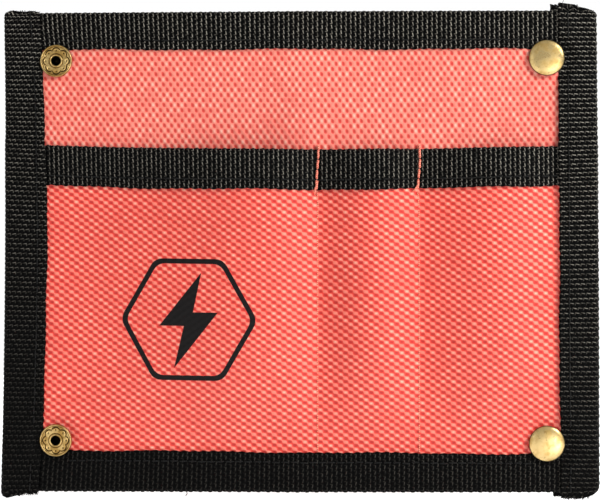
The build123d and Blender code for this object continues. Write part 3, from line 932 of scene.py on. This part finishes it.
YARN = 0.085                    # a frayed yarn's radius
left_fray = tubes(
    "left_binding_fray",
    fray(LEFT + 2.5, LEFT_IN - 0.5, TOP + 0.2, 1, (1.0, 4.3), 60, 0.7)
    + fray(LEFT + 3.5, LEFT_IN - 0.5, BOTTOM - 0.6, -1, (1.0, 5.0), 70, 0.8),
    YARN * MM, fray_thread, 5,
)
right_fray = tubes(
    "right_binding_fray",
    fray(RIGHT_IN - 0.3, RIGHT - 7.0, TOP + 1.3, 1, (1.0, 4.3), 90, 0.8)
    + fray(RIGHT_IN + 0.3, RIGHT - 2.0, BOTTOM - 1.3, -1, (1.0, 5.0), 90, 1.2)
    + [
        stray([(91.6, 83.6, 4.6), (91.2, 86.2, 4.8), (91.6, 87.6, 4.4), (90.6, 88.6, 4.2)]),
        stray([(93.6, -84.0, 5.2), (94.2, -86.4, 5.4), (94.0, -88.0, 5.2), (95.2, -88.8, 5.0)]),
    ],
    YARN * MM, fray_thread, 5,
)
loose_end = tubes(
    "bottom_loose_thread",
    [stray([(-39.4, -81.6, 4.7), (-39.0, -83.2, 4.9), (-38.6, -84.6, 4.4), (-39.2, -85.4, 4.0)])],
    0.14 * MM, black_thread, 6,
)


# ---------------------------------------------------------------- print on the left pocket
def print_surface(x, z):
    return POCKET_FRONT + bulge(x, z) + floats(x, z) + 0.06


CENTRE_X, CENTRE_Z = -39.0, -24.0       # middle of the print


def flat_mesh(name, outlines, material, step):
    """Outlines in the pocket's plane, filled with small faces that follow the cloth."""
    bm = bmesh.new()
    for outline in outlines:
        bm.faces.new([bm.verts.new((px, pz, 0.0)) for px, pz in outline])
    bmesh.ops.triangulate(bm, faces=bm.faces[:])
    while True:
        long_edges = [e for e in bm.edges if e.calc_length() > step]
        if not long_edges:
            break
        bmesh.ops.subdivide_edges(bm, edges=long_edges, cuts=1)
        bmesh.ops.triangulate(bm, faces=[f for f in bm.faces if len(f.verts) > 3])
    flat = np.array([v.co[:2] for v in bm.verts])
    bm.verts.index_update()
    faces = [[v.index for v in f.verts] for f in bm.faces]
    bm.free()
    points = place(flat[:, 0], flat[:, 1], print_surface(flat[:, 0], flat[:, 1]))
    order = np.array([i for f in faces for i in f])
    low, high = flat.min(0), flat.max(0)
    maps = {"Weave": flat[order] / 10.0, "OFBake": 0.02 + 0.96 * (flat[order] - low) / (high - low)}
    ob = make_mesh(name, points, faces, maps, material)
    if np.mean([p.normal[1] for p in ob.data.polygons]) > 0:      # faces the front
        ob.data.flip_normals()
    return ob


def hexagon(radius, soft=0.12):
    """A hexagon whose corners are rounded over the share soft of its sides."""
    corners = [np.array([cos(radians(60 * k)), sin(radians(60 * k))]) * radius for k in range(-1, 7)]
    points = []
    for before, corner, after in zip(corners, corners[1:], corners[2:]):
        p, q = corner + (before - corner) * soft, corner + (after - corner) * soft
        for f in np.linspace(0, 1, 6):
            points.append((1 - f) ** 2 * p + 2 * f * (1 - f) * corner + f * f * q)
    return np.array(points)


outer_hex, inner_hex = hexagon(24.6), hexagon(22.6)
ring_faces = []
for k in range(len(outer_hex)):
    n = (k + 1) % len(outer_hex)
    ring_faces.append([outer_hex[k], outer_hex[n], inner_hex[n], inner_hex[k]])
bolt = [(4.5, 16.5), (-10.5, -2.2), (-1.6, -2.2), (-5.0, -17.0), (10.5, 2.6), (1.6, 2.6)]
print_piece = flat_mesh(
    "hex_and_bolt_print",
    [[(CENTRE_X + px, CENTRE_Z + pz) for px, pz in face] for face in ring_faces + [bolt]],
    ink, 0.75,
)

# ---------------------------------------------------------------- caps and eyelets
def turned_skin(name, radius, depth, hollow, x, z, material):
    """A closed skin round a press stud's axis: radius, depth and hollow, from 0 on the crests to
    1 in the hollows, are [round, section] arrays."""
    m, n = radius.shape
    angle = np.arange(m)[:, None] * 2 * pi / m
    points = np.stack(
        [x + radius * np.cos(angle), -depth + 0 * radius, z + radius * np.sin(angle)], -1
    ) * MM
    i, j = np.meshgrid(np.arange(m), np.arange(n), indexing="ij")
    next_i, next_j = (i + 1) % m, (j + 1) % n
    quads = np.stack([i * n + j, i * n + next_j, next_i * n + next_j, next_i * n + j], -1).reshape(-1, 4)
    around = spread(np.concatenate([points[0], points[0][:1]]))

    def corners(i, j):
        return np.stack([0.01 + 0.98 * around[j], 0.01 + 0.98 * i / m], -1)

    bake = np.stack([corners(i, j), corners(i, j + 1), corners(i + 1, j + 1), corners(i + 1, j)], -2)
    dark = np.stack([hollow, angle / 10 + 0 * hollow], -1)
    weave = np.stack([dark[i, j], dark[i, next_j], dark[next_i, next_j], dark[next_i, j]], -2)
    maps = {"Weave": weave.reshape(-1, 2), "OFBake": bake.reshape(-1, 2)}
    ob = make_mesh(name, points.reshape(-1, 3), quads.tolist(), maps, material)
    bm = bmesh.new()
    bm.from_mesh(ob.data)
    bmesh.ops.remove_doubles(bm, verts=bm.verts, dist=1e-7)
    bmesh.ops.recalc_face_normals(bm, faces=bm.faces)
    bm.to_mesh(ob.data)
    bm.free()
    return ob


def all_round(values, rounds):
    """The same section at every step round the axis."""
    return np.repeat(np.asarray(values)[None], rounds, 0)


def cap_piece(name, x, z, seat):
    crown = [(0, 2.0), (1.4, 1.97), (2.8, 1.88), (4.1, 1.70), (5.1, 1.44)]
    rim = [(5.8, 1.08), (6.2, 0.66), (6.17, 0.25), (5.85, 0.0)]
    inside = [(5.05, 0.0), (5.05, 0.9), (4.0, 1.3), (2.0, 1.5), (0.0, 1.5)]
    section = np.concatenate([eased(crown + rim, 56), inside])
    radius, height = all_round(section[:, 0], 96), all_round(section[:, 1], 96)
    # the lower part of the rim, where it turns down to the cloth, is marked to be darkened
    hollow = 0.75 * ramp(radius, 5.7, CAP_RADIUS) * (height < 1.3)
    return turned_skin(name, radius, seat + height, hollow, x, z, cap_brass)


def eyelet_piece(name, x, z, seat):
    """A rim, a ring of petals with a dimple between each two, and a rolled lip round the hole."""
    rounds = 192
    theta = np.arange(rounds)[:, None] * 2 * pi / rounds
    r = np.linspace(EYE_RADIUS, EYELET_RADIUS, 74)[None, :]
    petal = np.abs(np.cos(PETALS / 2 * theta))
    edge = 3.75 + 0.9 * petal**0.7
    groove = np.exp(-(((r - edge) / 0.19) ** 2))
    gap = (theta * PETALS / (2 * pi) + 0.5) % 1 - 0.5
    dimple = np.exp(-(((r - 3.72) ** 2 + (gap * 2 * pi / PETALS * r) ** 2) / 0.3**2))
    flower = 0.6 - 0.12 * ramp(r, edge, edge + 0.2) - 0.4 * groove - 0.3 * dimple
    flower = flower * (1 - ramp(r, 4.9, 5.05)) * ramp(r, 2.45, 2.65)
    lip = 0.92 * np.sqrt(np.clip(1 - ((r - 2.04) / 0.46) ** 2, 0, 1))
    rim = 0.82 * np.sqrt(np.clip(1 - ((r - 5.36) / 0.4) ** 2, 0, 1))
    trough = 0.14 + 0 * r * theta
    height = np.maximum.reduce([flower + 0 * r, lip + 0 * theta, rim + 0 * theta, trough])
    hollow = 0.9 * groove + 0.85 * dimple + 0.6 * np.exp(-(((r - 4.98) / 0.09) ** 2))
    # painted shade: the rim of the hole is marked as deepest hollow, so it comes out near black
    hollow = hollow + 0.5 * np.exp(-(((r - 2.6) / 0.16) ** 2)) + 1.0 * (r < EYE_RADIUS + 0.06)
    # underneath: its flat back, then the tube through the cloth and the closed end of the hole
    under = [(EYELET_RADIUS, seat), (POST_RADIUS, seat)]
    tube = [(POST_RADIUS, 0.1), (2.3, 0.1), (2.3, -0.3), (0.0, -0.3)]
    bore = [(0.0, -0.1), (EYE_RADIUS, -0.1), (EYE_RADIUS, 0.8), (EYE_RADIUS, 2.2)]
    unseen = np.array(under + tube + bore)
    radius = np.concatenate([r + 0 * theta, all_round(unseen[:, 0], rounds)], 1)
    depth = np.concatenate([seat + height, all_round(unseen[:, 1], rounds)], 1)
    # the unseen underside, tube and closed end are marked as deepest hollow too: the bore is painted near
    # black as shade
    hollow = np.concatenate([np.clip(hollow, 0, 1), np.ones((rounds, len(unseen)))], 1)
    return turned_skin(name, radius, depth, hollow, x, z, rosette_brass)


hardware = {}
for row, z in (("upper", SNAP_Z), ("lower", -SNAP_Z)):
    hardware[f"{row}_cap"] = (cap_piece(f"{row}_snap_cap", SNAP_X, z, SEAT[row]), "right_half")
    hardware[f"{row}_eyelet"] = (eyelet_piece(f"{row}_snap_eyelet", -SNAP_X, z, SEAT[row]), "left_half")
for node, (piece, body) in hardware.items():
    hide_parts(node)
    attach(piece, body)

# ---------------------------------------------------------------- which body carries what
for piece, nodes in (
    (back_panel, "back_panel"),
    (pocket_panel, "pocket_panel"),
    (mouth_tape, "mouth_binding"),
    (top_tape, "top_binding"),
    (bottom_tape, "bottom_binding"),
    (row_stitches["top"], "top_stitching"),
    (row_stitches["bottom"], "bottom_stitching"),
    (row_stitches["mouth"], "mouth_stitching"),
):
    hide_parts(f"{nodes}_left", f"{nodes}_right")
    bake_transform(piece)
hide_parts("left_binding")
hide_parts("right_binding")
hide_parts("left_stitching")
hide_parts("right_stitching")
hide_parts("inner_divider_stitching")
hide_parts("outer_divider_stitching")
for piece, body in (
    (left_tape, "left_half"),
    (right_tape, "right_half"),
    (side_stitches["left"], "left_half"),
    (side_stitches["right"], "right_half"),
    (outer_threads, "right_half"),
    (left_fray, "left_half"),
    (right_fray, "right_half"),
    (loose_end, "left_half"),
    (print_piece, "left_half"),
):
    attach(piece, body)
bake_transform(inner_threads)

for name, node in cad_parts.items():
    if not node.hide_render:
        node.data.materials.clear()
        node.data.materials.append(steel if "spring" in name else brass)

# ---------------------------------------------------------------- floor, light and camera
floor_z = min(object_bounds()[0][2], cad_box[0][2])
bpy.ops.mesh.primitive_plane_add(size=1.2, location=(0, 0, floor_z - 0.0002))
floor = bpy.context.object
floor.name = "floor"
pale = Graph("pale_floor")
floor.data.materials.append(
    pale.set(
        Base_Color=(0.5, 0.5, 0.5, 1), Roughness=0.9, Emission_Color=(1, 1, 1, 1), Emission_Strength=0.8
    )
)
floor.visible_shadow = False

world = bpy.data.worlds.new("studio")
bpy.context.scene.world = world
world.use_nodes = True
nodes, link = world.node_tree.nodes, world.node_tree.links.new
nodes.clear()
out = nodes.new("ShaderNodeOutputWorld")
dome, seen = nodes.new("ShaderNodeBackground"), nodes.new("ShaderNodeBackground")
for background in (dome, seen):
    background.inputs["Color"].default_value = (1.0, 1.0, 1.0, 1.0)
seen.inputs["Strength"].default_value = 1.0
pick = nodes.new("ShaderNodeMixShader")
path = nodes.new("ShaderNodeLightPath")
brighter = nodes.new("ShaderNodeMapRange")      # reflections see a brighter studio
brighter.inputs["To Min"].default_value = 0.2
brighter.inputs["To Max"].default_value = 0.5
link(path.outputs["Is Glossy Ray"], brighter.inputs["Value"])
link(brighter.outputs[0], dome.inputs["Strength"])
link(path.outputs["Is Camera Ray"], pick.inputs[0])
link(dome.outputs[0], pick.inputs[1])
link(seen.outputs[0], pick.inputs[2])
link(pick.outputs[0], out.inputs[0])


def soft_light(name, where, aim, size, watts, glossy=True, diffuse=True):
    """A round lamp at where, in metres, turned towards aim."""
    data = bpy.data.lights.new(name, "AREA")
    data.shape = "DISK"
    data.size = size
    data.energy = watts
    ob = bpy.data.objects.new(name, data)
    ob.location = where
    ob.rotation_euler = (Vector(aim) - Vector(where)).to_track_quat("-Z", "Y").to_euler()
    ob.visible_glossy = glossy
    ob.visible_diffuse = diffuse
    bpy.context.scene.collection.objects.link(ob)


KEY = (0.58, -0.35, 0.42)
CAPS = (0.09, 0, 0)
soft_light("key", KEY, (0.02, 0, 0), 0.36, 2.4)
soft_light("key_flat", KEY, (0.02, 0, 0), 0.36, 6.2, glossy=False)     # no glare on the weave
soft_light("front", (0.27, -0.75, -0.11), CAPS, 0.14, 0.55, glossy=False)
soft_light("glint", (0.92, -2.0, -0.34), CAPS, 0.5, 13.0, diffuse=False)   # lights only the gloss
soft_light("fill", (-0.7, -0.9, 0.1), (0, 0, 0), 0.6, 0.7)
soft_light("behind", (-0.4, 0.9, 0.5), (0, 0, 0), 0.5, 6.0)

TURN, DISTANCE, LENS = radians(3.3), 0.6, 102.1
camera = bpy.data.objects.new("camera", bpy.data.cameras.new("camera"))
camera.location = (DISTANCE * sin(TURN), -DISTANCE * cos(TURN), 0.0)
camera.rotation_euler = (radians(90), 0, TURN)
camera.data.lens = LENS
camera.data.sensor_width = 36.0
bpy.context.scene.collection.objects.link(camera)
bpy.context.scene.camera = camera
bpy.context.scene.view_settings.view_transform = "Standard"

bpy.context.view_layer.update()
